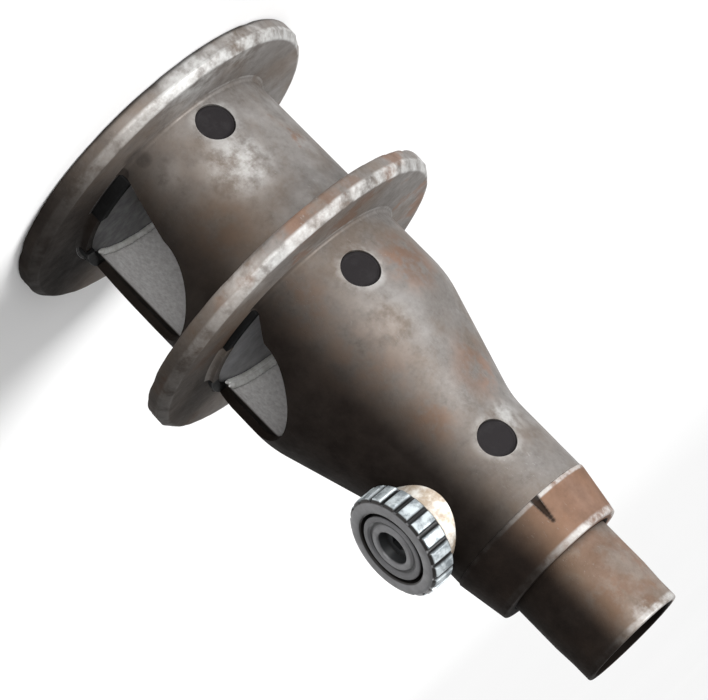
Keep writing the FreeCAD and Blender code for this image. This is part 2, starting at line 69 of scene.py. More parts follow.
OPEN_SIDE = (1, 0, 0)
TO_LOCK = Matrix.Translation((0, 0, LOCK_Z * MM)) @ Matrix.Rotation(math.radians(90), 4, "Y")
TO_HOLES = Matrix.Rotation(math.radians(90), 4, "X")


# ---------------------------------------------------------------- outlines and meshes

def arc_points(before, corner, after, radius):
    """The points that round one corner of an outline."""
    back, ahead = (before - corner), (after - corner)
    half = back.angle(ahead) / 2
    reach = min(radius / math.tan(half), LONGEST_FILLET * back.length, LONGEST_FILLET * ahead.length)
    radius = reach * math.tan(half)
    back, ahead = back.normalized(), ahead.normalized()
    centre = corner + (back + ahead).normalized() * radius / math.sin(half)
    start = corner + back * reach - centre
    end = corner + ahead * reach - centre
    sweep = math.atan2(start.x * end.y - start.y * end.x, start.dot(end))
    points = []
    for step in range(ARC_STEPS + 1):
        turn = sweep * step / ARC_STEPS
        points.append(centre + Vector((start.x * math.cos(turn) - start.y * math.sin(turn),
                                       start.x * math.sin(turn) + start.y * math.cos(turn))))
    return points


def rounded(corners, closed=True, longest=4.0):
    """An outline from (across, up, fillet) corners, with no side left longer than the limit."""
    spots = [Vector(corner[:2]) for corner in corners]
    outline = []
    for index, corner in enumerate(corners):
        ended = not closed and index in (0, len(corners) - 1)
        if ended or not corner[2]:
            outline.append(spots[index])
            continue
        following = spots[(index + 1) % len(spots)]
        outline += arc_points(spots[index - 1], spots[index], following, corner[2])
    finished = []
    for index, spot in enumerate(outline):
        finished.append(spot)
        if not closed and index == len(outline) - 1:
            break
        following = outline[(index + 1) % len(outline)]
        parts = math.ceil((following - spot).length / longest)
        finished += [spot.lerp(following, part / parts) for part in range(1, parts)]
    return finished


def made(name, bm, matrix=None):
    """An object from a bmesh, smooth except at its sharp edges."""
    bmesh.ops.remove_doubles(bm, verts=bm.verts, dist=SAME_POINT * MM)
    bmesh.ops.recalc_face_normals(bm, faces=bm.faces)
    mesh = bpy.data.meshes.new(name)
    bm.to_mesh(mesh)
    bm.free()
    if matrix:
        mesh.transform(matrix)
    piece = bpy.data.objects.new(name, mesh)
    bpy.context.scene.collection.objects.link(piece)
    smooth(piece)
    return piece


def smooth(piece):
    """Shades the piece smooth, split at its sharp edges."""
    piece.data.shade_smooth()
    piece.data.set_sharp_from_angle(angle=SHARP)


def stitch(bm, rings, closed_rings, closed_lap):
    """Joins equal rings of vertices with quads."""
    laps = len(rings) if closed_lap else len(rings) - 1
    for lap in range(laps):
        this, other = rings[lap], rings[(lap + 1) % len(rings)]
        steps = len(this) if closed_rings else len(this) - 1
        for index in range(steps):
            following = (index + 1) % len(this)
            bm.faces.new((this[index], other[index], other[following], this[following]))


def lathe(name, corners, closed=True, matrix=None, segments=SEGMENTS, longest=4.0):
    """A turned piece from its half section; an open one starts and ends on the axis."""
    outline = rounded(corners, closed, longest)
    bm = bmesh.new()
    rings = []
    for step in range(segments):
        turn = 2 * math.pi * step / segments
        rings.append([bm.verts.new((spot.x * math.cos(turn) * MM, spot.x * math.sin(turn) * MM,
                                    spot.y * MM)) for spot in outline])
    stitch(bm, rings, closed, True)
    return made(name, bm, matrix)


def prism(name, outline, start, end, matrix=None):
    """A straight solid from a flat outline, between two heights."""
    bm = bmesh.new()
    low = [bm.verts.new((spot[0] * MM, spot[1] * MM, start * MM)) for spot in outline]
    high = [bm.verts.new((spot[0] * MM, spot[1] * MM, end * MM)) for spot in outline]
    stitch(bm, [low, high], True, False)
    bm.faces.new(low)
    bm.faces.new(high)
    return made(name, bm, matrix)


def cleaned(mesh):
    """The mesh with near-equal points merged, empty faces dissolved and loose scraps removed."""
    bm = bmesh.new()
    bm.from_mesh(mesh)
    bmesh.ops.remove_doubles(bm, verts=bm.verts, dist=SAME_PLACE * MM)
    bmesh.ops.dissolve_degenerate(bm, edges=bm.edges, dist=SAME_PLACE * MM)
    flaps = [face for face in bm.faces if any(len(edge.link_faces) > 2 for edge in face.edges)
             and sum(len(edge.link_faces) == 1 for edge in face.edges)]
    bmesh.ops.delete(bm, geom=flaps, context="FACES")
    loose = [vertex for vertex in bm.verts if not vertex.link_faces]
    bmesh.ops.delete(bm, geom=loose, context="VERTS")
    bm.to_mesh(mesh)
    bm.free()
    return mesh


def settle(piece):
    """Applies the piece's modifiers to its mesh."""
    graph = bpy.context.evaluated_depsgraph_get()
    mesh = cleaned(bpy.data.meshes.new_from_object(piece.evaluated_get(graph)))
    piece.modifiers.clear()
    piece.data = mesh
    smooth(piece)


def carve(piece, *cutters):
    """Cuts other objects out of the piece and removes them."""
    for cutter in cutters:
        modifier = piece.modifiers.new("Carve", "BOOLEAN")
        modifier.operation = "DIFFERENCE"
        modifier.solver = "EXACT"
        modifier.object = cutter
    settle(piece)
    for cutter in cutters:
        bpy.data.objects.remove(cutter)


def soften(piece, width):
    """Rounds the piece's sharp edges, keeping its flat and turned faces true."""
    bevel = piece.modifiers.new("EdgeBreak", "BEVEL")
    bevel.width = width * MM
    bevel.segments = 2
    bevel.limit_method = "ANGLE"
    bevel.angle_limit = SHARP
    bevel.use_clamp_overlap = True
    bevel.harden_normals = True
    return piece


def wear_rim(piece, inner, depth, size):
    """Dents the outer rim a little, by coherent noise, beyond a radius."""
    for vertex in piece.data.vertices:
        away = math.hypot(vertex.co.x, vertex.co.y) / MM
        if away < inner:
            continue
        share = min(1.0, (away - inner) / 1.5)
        dent = noise.noise(vertex.co / (size * MM)) + 0.5 * noise.noise(vertex.co / (0.4 * size * MM))
        scale = 1 - depth * share * max(0.0, dent) / away
        vertex.co.x *= scale
        vertex.co.y *= scale


# ---------------------------------------------------------------- shader nodes

def blank_material(name):
    """A new material and its empty node tree."""
    material = bpy.data.materials.new(name)
    material.use_nodes = True
    material.node_tree.nodes.clear()
    return material, material.node_tree


def add(tree, kind, inputs=None, **settings):
    """A shader node with its settings and inputs, each input a value or another node's socket."""
    item = tree.nodes.new("ShaderNode" + kind)
    for name, value in settings.items():
        setattr(item, name, value)
    for name, value in (inputs or {}).items():
        if isinstance(value, bpy.types.NodeSocket):
            tree.links.new(value, item.inputs[name])
        else:
            item.inputs[name].default_value = value
    return item


def sums(tree, operation, first, second=0.0, clamp=True):
    """A math node's result, kept within 0 and 1 unless clamp is off."""
    item = add(tree, "Math", {0: first, 1: second}, operation=operation, use_clamp=clamp)
    return item.outputs[0]


def times(tree, first, second):
    """The product of two shares."""
    return sums(tree, "MULTIPLY", first, second)


def most(tree, first, second):
    """The greater of two shares."""
    return sums(tree, "MAXIMUM", first, second)


def rest(tree, share):
    """What a share leaves of 1."""
    return sums(tree, "SUBTRACT", 1.0, share)


def band(tree, value, low, high):
    """0 below the low limit, 1 above the high one, smooth between; falls where low is the greater."""
    item = add(tree, "MapRange", {"Value": value, "From Min": min(low, high), "From Max": max(low, high),
                                  "To Min": float(low > high), "To Max": float(low <= high)},
               interpolation_type="SMOOTHSTEP")
    return item.outputs["Result"]


def spread(tree, value, low, high):
    """A middling noise value stretched to run from low to high."""
    item = add(tree, "MapRange", {"Value": value, "From Min": 0.3, "From Max": 0.7,
                                  "To Min": low, "To Max": high})
    return item.outputs["Result"]


def blend(tree, share, first, second):
    """A mix of two colours, the share being the second's."""
    item = add(tree, "Mix", {"Factor": share}, data_type="RGBA")
    for socket, value in ((item.inputs[6], first), (item.inputs[7], second)):
        if isinstance(value, bpy.types.NodeSocket):
            tree.links.new(value, socket)
        else:
            socket.default_value = (*value, 1.0)
    return item.outputs[2]


def grain(tree, where, size, detail=4.0, roughness=0.55, stretch=(1, 1, 1), shift=0.0):
    """Noise with features of a size in millimetres, about 0 to 1 with a middle of 0.5."""
    moved = add(tree, "Mapping", {"Vector": where, "Location": (shift, shift, shift), "Scale": stretch})
    item = add(tree, "TexNoise", {"Vector": moved.outputs[0], "Scale": 1 / (size * MM),
                                  "Detail": detail, "Roughness": roughness})
    return item.outputs["Fac"]


def scratches(tree, where):
    """Short straight slanting scratches, 1 on them and 0 off."""
    turned = add(tree, "VectorRotate", {"Vector": where, "Angle": 0.5, "Axis": (1, 0.4, 0)}).outputs[0]
    value = grain(tree, turned, 7, 1.5, 0.4, (16, 16, 1), 0.6)
    places = band(tree, grain(tree, where, 14, 2, shift=3.6), 0.5, 0.6)
    return times(tree, band(tree, value, 0.66, 0.72), places)


def near(tree, where, spot, inner, outer):
    """1 within the inner distance of a spot, 0 beyond the outer one; all in millimetres."""
    centre = tuple(value * MM for value in spot)
    item = add(tree, "VectorMath", {0: where, 1: centre}, operation="DISTANCE")
    return band(tree, item.outputs["Value"], outer * MM, inner * MM)


def patches(tree, where, spots, texture, low, high):
    """The strongest of several (place, inner distance, outer distance, strength) spots, broken up."""
    total = 0.0
    for spot, inner, outer, strength in spots:
        total = most(tree, total, times(tree, near(tree, where, spot, inner, outer), strength))
    return times(tree, total, band(tree, texture, low, high)) if spots else total


def edges(tree, radius):
    """1 along edges, found by comparing the normal with its average within a radius."""
    soft = add(tree, "Bevel", {"Radius": radius * MM}, samples=6)
    hard = add(tree, "NewGeometry")
    dot = add(tree, "VectorMath", {0: soft.outputs[0], 1: hard.outputs["Normal"]}, operation="DOT_PRODUCT")
    return band(tree, dot.outputs["Value"], 0.98, 0.8)


def sheltered(tree, distance):
    """1 deep in corners, 0 in the open."""
    item = add(tree, "AmbientOcclusion", {"Distance": distance * MM}, samples=8)
    return band(tree, item.outputs["AO"], 0.85, 0.25)


def round_place(tree, where):
    """The distance from the axis, the height and the way out from the axis, of each point."""
    parts = add(tree, "SeparateXYZ", {"Vector": where})
    level = add(tree, "CombineXYZ", {"X": parts.outputs[0], "Y": parts.outputs[1]})
    away = add(tree, "VectorMath", {0: level.outputs[0]}, operation="LENGTH").outputs["Value"]
    outward = add(tree, "VectorMath", {0: level.outputs[0]}, operation="NORMALIZE").outputs[0]
    return away, parts.outputs[2], outward


def inner_wall(tree, place, radius, top):
    """1 on a chamber's inner wall: closer to the axis than the radius and below the top."""
    away, up = place[:2]
    inside = band(tree, away, (radius + 0.3) * MM, (radius - 0.3) * MM)
    return times(tree, inside, band(tree, up, top * MM, (top - 3) * MM))


def facing(tree, outward, direction, low, high):
    """1 on the side that faces a direction, low and high being cosines from it."""
    item = add(tree, "VectorMath", {0: outward, 1: direction}, operation="DOT_PRODUCT")
    return band(tree, item.outputs["Value"], low, high)


def worn_bands(tree, place, bands, texture):
    """1 on bare bands round the object, each (lowest, highest, least radius), broken up by a texture."""
    away, up = place[:2]
    total = 0.0
    for low, high, radius in bands:
        rise = band(tree, up, (low - 0.4) * MM, (low + 0.5) * MM)
        fall = band(tree, up, (high + 0.4) * MM, (high - 0.1) * MM)
        beyond = band(tree, away, (radius - 0.4) * MM, (radius + 0.3) * MM)
        total = most(tree, total, times(tree, times(tree, rise, fall), beyond))
    return times(tree, total, band(tree, texture, 0.32, 0.62)) if bands else total


def finish_surface(tree, colour, roughness, height, depth, metallic, specular=0.5):
    """The surface shader and output; the height bumps the surface by a depth in millimetres."""
    bump = add(tree, "Bump", {"Strength": 1.0, "Distance": depth * MM, "Height": height})
    shader = add(tree, "BsdfPrincipled", {"Roughness": roughness, "Normal": bump.outputs[0],
                                          "Metallic": metallic, "Specular IOR Level": specular})
    if isinstance(colour, bpy.types.NodeSocket):
        tree.links.new(colour, shader.inputs["Base Color"])
    else:
        shader.inputs["Base Color"].default_value = (*colour, 1.0)
    output = add(tree, "OutputMaterial")
    tree.links.new(shader.outputs[0], output.inputs["Surface"])


# ---------------------------------------------------------------- materials

STEEL_DARK = (0.1, 0.088, 0.078)
STEEL_MID = (0.165, 0.15, 0.139)
STEEL_LIGHT = (0.27, 0.257, 0.247)
# Bare bright metal for wear and scratches, also used for painted highlights.
BARE_AND_HIGHLIGHT = (0.54, 0.54, 0.53)
RUST = (0.23, 0.1, 0.045)
RUST_DEEP = (0.13, 0.066, 0.038)
# Brown of real warm stains, and of the painted shade on the +X side.
STAIN_AND_SHADE_BROWN = (0.14, 0.095, 0.062)
# Near black: the colour of painted shade, and of the dark rings on the knob's face.
NEAR_BLACK = (0.007, 0.005, 0.004)
# Painted light: the pale colours of a chamber's far inner wall, which stand in for the light on it.
INNER_WALL_PAINTED_LIGHT_LOW = (0.66, 0.64, 0.63)
INNER_WALL_PAINTED_LIGHT = (0.95, 0.94, 0.93)
# Painted light: the pale colours of a chamber's floor, which stand in for the light on it.
CHAMBER_FLOOR_PAINTED_LIGHT_LOW = (0.36, 0.36, 0.37)
CHAMBER_FLOOR_PAINTED_LIGHT = (0.56, 0.56, 0.58)
# The +X side, away from the key light, which the steels darken as painted shade.
SHADED_SIDE = (math.cos(math.radians(8)), math.sin(math.radians(8)), 0)
CLOUD_SIZE, WARM_SIZE, RUST_SIZE, MOTTLE_SIZE, SPECK_SIZE = 20, 16, 13, 5, 1.1
CUT_RADIUS = TUBE - 0.05
CHAMBER_WALL = BORE + 0.6
STEEL_SPECULAR = 0.06


def steel_base(tree, where, textures, tint):
    """Mottled grey steel with warm stains."""
    cloud, mottle, speck = textures
    dark, middle, light = [[shade * share for shade, share in zip(steel, tint)]
                           for steel in (STEEL_DARK, STEEL_MID, STEEL_LIGHT)]
    colour = blend(tree, band(tree, cloud, 0.32, 0.68), middle, light)
    colour = blend(tree, spread(tree, mottle, 0.75, 0.0), colour, dark)
    colour = blend(tree, spread(tree, speck, 0.0, 0.4), colour, light)
    warm = band(tree, grain(tree, where, WARM_SIZE, 5, 0.6, shift=8.4), 0.42, 0.66)
    return blend(tree, times(tree, warm, 0.4), colour, STAIN_AND_SHADE_BROWN)


def rust_cover(tree, where, mottle, spots, level, share):
    """1 where rust lies: scattered where noise passes the level, and thick in the given spots."""
    noisy = grain(tree, where, RUST_SIZE, 7, 0.62, shift=5.7)
    scattered = times(tree, band(tree, noisy, level, level + 0.12), share)
    return most(tree, scattered, patches(tree, where, spots, mottle, 0.36, 0.6))


def rust_colour(tree, textures):
    """Orange-brown rust, darker in places."""
    cloud, mottle, speck = textures
    colour = blend(tree, band(tree, cloud, 0.36, 0.6), RUST_DEEP, RUST)
    colour = blend(tree, spread(tree, speck, 0.4, 0.0), colour, RUST_DEEP)
    return blend(tree, spread(tree, mottle, 0.7, 0.0), colour, RUST_DEEP)


def rubbed_edges(tree, mottle, shelter, radius):
    """1 on open edges that handling has rubbed bright."""
    rubbed = times(tree, edges(tree, radius), band(tree, mottle, 0.34, 0.52))
    return times(tree, rubbed, band(tree, shelter, 0.3, 0.05))


def chamber_painted_light(tree, colour, painted_shade, place, speck, chamber):
    """The colour and painted shade with painted light on a chamber's inner wall, which gets no painted
    shade, painted shade on its window's cut faces, and half the painted shade on the sill's face.
    """
    radius, top, sill = chamber
    away, up, outward = place
    # Painted light on the inner wall facing the window, clear of painted shade.
    lit_wall = times(tree, inner_wall(tree, place, radius, top), facing(tree, outward, OPEN_SIDE, 0.72, 0.66))
    wall = blend(tree, spread(tree, speck, 0, 1), INNER_WALL_PAINTED_LIGHT_LOW, INNER_WALL_PAINTED_LIGHT)
    colour = blend(tree, times(tree, lit_wall, 0.9), colour, wall)
    # Painted shade on the window's cut faces.
    cut = times(tree, band(tree, away, CUT_RADIUS * MM, (CUT_RADIUS - 0.25) * MM),
                facing(tree, outward, OPEN_SIDE, 0.7, 0.74))
    painted_shade = most(tree, times(tree, painted_shade, rest(tree, lit_wall)), times(tree, cut, 0.93))
    # Half the painted shade on the sill's face, below the sill's top.
    step = times(tree, band(tree, up, (sill + 0.2) * MM, (sill - 0.2) * MM),
                 facing(tree, outward, OPEN_SIDE, 0.74, 0.8))
    return colour, times(tree, painted_shade, rest(tree, times(tree, step, 0.5)))


def floor_painted_light(tree, colour, painted_shade, away, mottle, radius):
    """The colour and painted shade with painted light on a chamber's floor within a radius, which gets no
    painted shade there.
    """
    within = band(tree, away, (radius + 0.5) * MM, radius * MM)
    floor = blend(tree, spread(tree, mottle, 0, 1), CHAMBER_FLOOR_PAINTED_LIGHT_LOW, CHAMBER_FLOOR_PAINTED_LIGHT)
    return blend(tree, within, colour, floor), times(tree, painted_shade, rest(tree, within))


def worn_steel(name, rust=(), shade_spots=(), bare_and_highlight=(), bands=(), rust_level=0.64, tint=(1, 1, 1), edge=0.9,
               edge_share=0.9, side_shade=(-0.05, 0.8, 0.97), rust_share=0.8, chamber=None, bore=None,
               floor_radius=None):
    """Weathered steel: mottled grey-brown with rust, bare worn edges, a few painted highlights, and painted
    shade over them.

    rust, shade_spots and bare_and_highlight are lists of (place, inner distance, outer distance, strength)
    spots.
    bands are bare rings, side_shade how far the painted shade on the +X side reaches, bore the radius below
    which the inside gets painted shade, chamber the radius and top of an inner wall painted lighter as
    painted light and the height of a sill with less painted shade, and floor_radius the radius of a
    chamber's floor painted lighter as painted light."""
    material, tree = blank_material(name)
    where = add(tree, "TexCoord").outputs["Object"]
    cloud = grain(tree, where, CLOUD_SIZE, 4)
    mottle = grain(tree, where, MOTTLE_SIZE, 6, 0.62, shift=1.3)
    speck = grain(tree, where, SPECK_SIZE, 4, 0.65, shift=2.1)
    textures = (cloud, mottle, speck)
    place = round_place(tree, where)
    away, outward = place[0], place[2]
    # The corner mask, used for painted shade in corners and to keep rubbed edges out of them.
    shelter = sheltered(tree, 4)

    colour = steel_base(tree, where, textures, tint)
    stained = rust_cover(tree, where, mottle, rust, rust_level, rust_share)
    colour = blend(tree, times(tree, stained, 0.85), colour, rust_colour(tree, textures))

    # Bare worn spots and bands; some listed spots are painted highlights.
    worn_and_highlight = most(tree, patches(tree, where, bare_and_highlight, mottle, 0.36, 0.64), worn_bands(tree, place, bands, mottle))
    colour = blend(tree, times(tree, worn_and_highlight, spread(tree, speck, 1.0, 0.6)), colour, BARE_AND_HIGHLIGHT)
    lines = scratches(tree, where)
    colour = blend(tree, times(tree, lines, 0.14), colour, BARE_AND_HIGHLIGHT)
    rubbed = rubbed_edges(tree, mottle, shelter, edge)
    colour = blend(tree, times(tree, rubbed, edge_share), colour, BARE_AND_HIGHLIGHT)

    # Painted shade: the +X side, away from the key light, is tinted brown and darkened towards near black.
    low, high, strength = side_shade
    side_shade_brown = facing(tree, outward, SHADED_SIDE, low - 0.25, high - 0.3)
    colour = blend(tree, times(tree, side_shade_brown, spread(tree, mottle, 0.2, 0.6)), colour, STAIN_AND_SHADE_BROWN)
    painted_shade = times(tree, facing(tree, outward, SHADED_SIDE, low, high), strength)
    # Painted shade at the listed spots, broken up by noise.
    painted_shade = most(tree, painted_shade, patches(tree, where, shade_spots, cloud, 0.1, 0.25))
    painted_shade = times(tree, painted_shade, spread(tree, mottle, 1.0, 0.96))
    if floor_radius:
        colour, painted_shade = floor_painted_light(tree, colour, painted_shade, away, mottle, floor_radius)
    # Painted shade inside the bore.
    if bore:
        painted_shade = most(tree, painted_shade, band(tree, away, bore * MM, (bore - 0.5) * MM))
    if chamber:
        colour, painted_shade = chamber_painted_light(tree, colour, painted_shade, place, speck, chamber)
    # Painted shade in corners, from ambient occlusion; then all the painted shade is mixed in as near black.
    painted_shade = most(tree, painted_shade, times(tree, shelter, 0.8))
    colour = blend(tree, painted_shade, colour, NEAR_BLACK)

    dull = most(tree, stained, painted_shade)
    roughness = sums(tree, "ADD", spread(tree, mottle, 0.58, 0.4), times(tree, dull, 0.3))
    metallic = add(tree, "MapRange", {"Value": dull, "To Min": 0.3, "To Max": 0.0}).outputs["Result"]
    height = sums(tree, "ADD", times(tree, speck, 0.4), times(tree, mottle, 0.6))
    height = sums(tree, "SUBTRACT", height, times(tree, lines, 0.25))
    finish_surface(tree, colour, roughness, height, 0.2, metallic, STEEL_SPECULAR)
    return material


def turned_metal(name, base, shade, roughness=0.3, metallic=0.9, shade_share=0.5, rim=None):
    """Machined metal with a fine grain, painted shade in its corners, rubbed edges, and painted shade beyond
    a rim radius.
    """
    material, tree = blank_material(name)
    where = add(tree, "TexCoord").outputs["Object"]
    mottle = grain(tree, where, 3, 5, 0.6)
    fine = grain(tree, where, 0.25, 2, 0.6)
    colour = blend(tree, band(tree, mottle, 0.35, 0.65), base, shade)
    # Painted shade in corners, from ambient occlusion, and beyond the rim radius.
    painted_shade = times(tree, sheltered(tree, 2.5), shade_share)
    if rim:
        away = round_place(tree, where)[0]
        painted_shade = most(tree, painted_shade, band(tree, away, (rim - 0.4) * MM, rim * MM))
    colour = blend(tree, painted_shade, colour, NEAR_BLACK)
    bright = [min(1, 1.25 * part) for part in base]
    colour = blend(tree, times(tree, edges(tree, 0.35), 0.6), colour, bright)
    rough = sums(tree, "ADD", spread(tree, mottle, roughness * 0.8, roughness * 1.4), times(tree, painted_shade, 0.3))
    finish_surface(tree, colour, rough, fine, 0.02, metallic)
    return material


def dark_cap(name, base, light, roughness):
    """A dull dark surface, scuffed a little."""
    material, tree = blank_material(name)
    where = add(tree, "TexCoord").outputs["Object"]
    mottle = grain(tree, where, 3, 6, 0.65)
    speck = grain(tree, where, 0.5, 3, 0.6)
    colour = blend(tree, band(tree, mottle, 0.45, 0.75), base, light)
    rough = spread(tree, mottle, roughness * 0.85, roughness * 1.25)
    finish_surface(tree, colour, rough, speck, 0.05, 0.0, 0.12)
    return material


KNOB_RINGS = [(13.35, 0.6, 0.95), (9.85, 0.5, 0.95), (6.9, 0.35, 0.5), (4.1, 0.5, 0.9)]
NICKEL, NICKEL_DARK, GROOVE_SHADE = (0.54, 0.59, 0.61), (0.2, 0.225, 0.24), (0.02, 0.021, 0.022)
FACE_OUTER, FACE_INNER, FACE_DARK = (0.16, 0.16, 0.165), (0.095, 0.095, 0.1), (0.08, 0.078, 0.078)
GROOVE_FLOOR, TOOTH_TOP = 13.1, 13.8
KNOB_FACE = 29.3


def knob_metal():
    """Bright knurled nickel with painted shade in its grooves; its face is duller, with dark turned rings, a
    socket painted dark as shade and painted shade in its corners.
    """
    material, tree = blank_material("knob_metal")
    where = add(tree, "TexCoord").outputs["Object"]
    centred = add(tree, "VectorMath", {0: where, 1: (0, 0, LOCK_Z * MM)}, operation="SUBTRACT").outputs[0]
    across = add(tree, "VectorMath", {0: centred, 1: (0, 1, 1)}, operation="MULTIPLY").outputs[0]
    away = add(tree, "VectorMath", {0: across}, operation="LENGTH").outputs["Value"]
    out = add(tree, "SeparateXYZ", {"Vector": where}).outputs[0]
    mottle = grain(tree, where, 3, 5, 0.6)
    fine = grain(tree, where, 0.3, 2, 0.6)

    teeth = blend(tree, band(tree, mottle, 0.4, 0.62), NICKEL, NICKEL_DARK)
    # Painted shade in the knurl's grooves, darker towards their floor.
    teeth = blend(tree, band(tree, away, TOOTH_TOP * MM, GROOVE_FLOOR * MM), teeth, GROOVE_SHADE)
    face = blend(tree, band(tree, away, 10.2 * MM, 9.8 * MM), FACE_OUTER, FACE_INNER)
    face = blend(tree, band(tree, away, 6.9 * MM, 6.4 * MM), face, FACE_OUTER)
    # Painted shade in the screw's central socket.
    face = blend(tree, band(tree, away, 2.7 * MM, 2.3 * MM), face, NEAR_BLACK)
    face = blend(tree, spread(tree, mottle, 0.0, 0.5), face, FACE_DARK)
    for radius, width, strength in KNOB_RINGS:
        gap = sums(tree, "ABSOLUTE", sums(tree, "SUBTRACT", away, radius * MM, False))
        line = band(tree, gap, width * MM, 0.4 * width * MM)
        face = blend(tree, times(tree, line, strength), face, NEAR_BLACK)
    colour = blend(tree, band(tree, out, KNOB_FACE * MM, (KNOB_FACE + 0.3) * MM), teeth, face)
    # Painted shade in corners, from ambient occlusion.
    colour = blend(tree, times(tree, sheltered(tree, 2), 0.8), colour, NEAR_BLACK)
    finish_surface(tree, colour, spread(tree, mottle, 0.34, 0.5), fine, 0.03, 0.35)
    return material


# ---------------------------------------------------------------- pieces

def show(piece, material, body, slot, *nodes):
    """Gives a new piece its material and body, in place of CAD nodes; its slot argument is not used."""
    piece.data.materials.clear()
    piece.data.materials.append(material)
    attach(piece, body)
    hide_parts(*nodes)


def dress(name, material):
    """Gives a CAD node its material."""
    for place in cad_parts[name].material_slots:
        place.material = material


def window_cutter(base, sill, arc_z):
    """The arched opening towards +X with notches at both ends of its sill."""
    foot, steps = NOTCH_FAR + 0.1, 40
    floor = base - NOTCH_DROP
    right = [(NOTCH_NEAR, base + sill), (NOTCH_NEAR, floor), (NOTCH_FAR, floor), (foot, base + sill),
             (ARCH, arc_z)]
    arch = [(ARCH * math.cos(math.pi * step / steps), arc_z + ARCH * math.sin(math.pi * step / steps))
            for step in range(1, steps)]
    left = [(-across, up) for across, up in reversed(right)]
    upright = Matrix(((0, 0, 1, 0), (1, 0, 0, 0), (0, 1, 0, 0), (0, 0, 0, 1)))
    return prism("window_cutter", right + arch + left, 10, FLANGE, upright)


def round_cutter(radius, matrix):
    """A plain round cutter along Z, moved by the matrix."""
    return lathe("round_cutter", [(0, 0, 0), (radius, 0, 0), (radius, FLANGE, 0), (0, FLANGE, 0)],
                 False, matrix, 96, 50)


def access_cutter(height):
    """The round access hole towards -Y at a height."""
    return round_cutter(HOLE_RADIUS, Matrix.Translation((0, 0, height * MM)) @ TO_HOLES)


def flanges(steel_rear, steel_mid):
    """The two flange rings, with worn rims."""
    rear = lathe("rear_flange_ring", [
        (SEAT, FLANGE_THICK, 0), (SEAT, SEAT_FLOOR, 0.2), (RECESS, SEAT_FLOOR, 0.3), (RECESS, 0, 0.4),
        (FLANGE, 0, 1.3), (FLANGE, FLANGE_THICK - RIM_DROP, 0.7), (RIM_TOP, FLANGE_THICK, 0.8),
    ], longest=2.0, segments=FINE_SEGMENTS)
    wear_rim(rear, RIM_WEAR_START, RIM_DENT, 8)
    show(rear, steel_rear, "housing", "housing_steel", "rear_flange")
    middle = lathe("mid_flange_ring", [
        (MID_BORE, MID_TOP, 0.3), (MID_BORE, MID_Z, 0.3), (FLANGE, MID_Z, 1.3),
        (FLANGE, MID_TOP - RIM_DROP, 0.7), (RIM_TOP, MID_TOP, 0.8),
    ], longest=2.0, segments=FINE_SEGMENTS)
    wear_rim(middle, RIM_WEAR_START, RIM_DENT, 7)
    show(middle, steel_mid, "housing", "housing_steel", "mid_flange")


def end_plate(steel):
    """The disc let into the rear flange, with a fine seam round it."""
    edge, face = SEAT - 0.05, FLANGE_THICK - 0.02
    plate = lathe("end_plate_disc", [
        (PLATE_BORE, SEAT_FLOOR, 0.2), (edge, SEAT_FLOOR, 0.3), (edge, face, 0), (PLATE_BORE, face, 0.4),
    ])
    show(plate, steel, "housing", "housing_steel", "rear_end_plate")


def rear_tube(steel):
    """The windowed tube between the flanges, with fillets at both ends."""
    tube = lathe("rear_tube", [
        (BORE, FLANGE_THICK, 0), (TUBE + FOOT, FLANGE_THICK, 0), (TUBE, FLANGE_THICK + 0.3, FOOT),
        (TUBE, MID_Z - 0.3, FOOT), (TUBE + FOOT, MID_Z, 0), (BORE, MID_Z, 0),
    ])
    carve(tube, window_cutter(FLANGE_THICK, REAR_SILL, REAR_ARCH_Z), access_cutter(HOLE_HEIGHTS[0]))
    soften(tube, 0.3)
    show(tube, steel, "housing", "housing_steel", "rear_sleeve")


def front_shell(steel):
    """The front tube with its cone and neck, in one shell."""
    shell = lathe("front_tube_and_cone", [
        (BORE, MID_TOP, 0), (TUBE + FOOT, MID_TOP, 0), (TUBE, MID_TOP + 0.3, FOOT), (TUBE, CONE_Z, 30),
        (NECK, CONE_TOP, 26), (NECK, NECK_END, 0), (NECK_BORE, NECK_END, 0),
        (NECK_BORE, CONE_INSIDE_TOP, 20), (BORE, CONE_INSIDE_Z, 20),
    ], longest=3.0)
    carve(shell, window_cutter(MID_TOP, MID_SILL, MID_ARCH_Z), access_cutter(HOLE_HEIGHTS[1]),
          access_cutter(HOLE_HEIGHTS[2]), round_cutter(LOCK_HOLE, TO_LOCK))
    soften(shell, 0.3)
    show(shell, steel, "housing", "housing_steel", "front_shell")


def key_pair(name, base, top, black, node):
    """The two curved keys in a window's sill, with rounded edges."""
    bm = bmesh.new()
    inner, outer, steps = BORE - 0.2, TUBE + 0.2, 24
    near_y, far_y = NOTCH_NEAR - 0.1, NOTCH_FAR - 0.1
    for side in (1, -1):
        rings = []
        for step in range(steps + 1):
            across = side * (near_y + (far_y - near_y) * step / steps)
            ring = []
            for away, up in ((inner, base), (outer, base), (outer, top), (inner, top)):
                ring.append(bm.verts.new((math.sqrt(away ** 2 - across ** 2) * MM, across * MM, up * MM)))
            rings.append(ring)
        stitch(bm, rings, True, False)
        bm.faces.new(rings[0])
        bm.faces.new(rings[-1])
    keys = soften(made(name, bm), 0.25)
    show(keys, black, "housing", "black_steel", node)


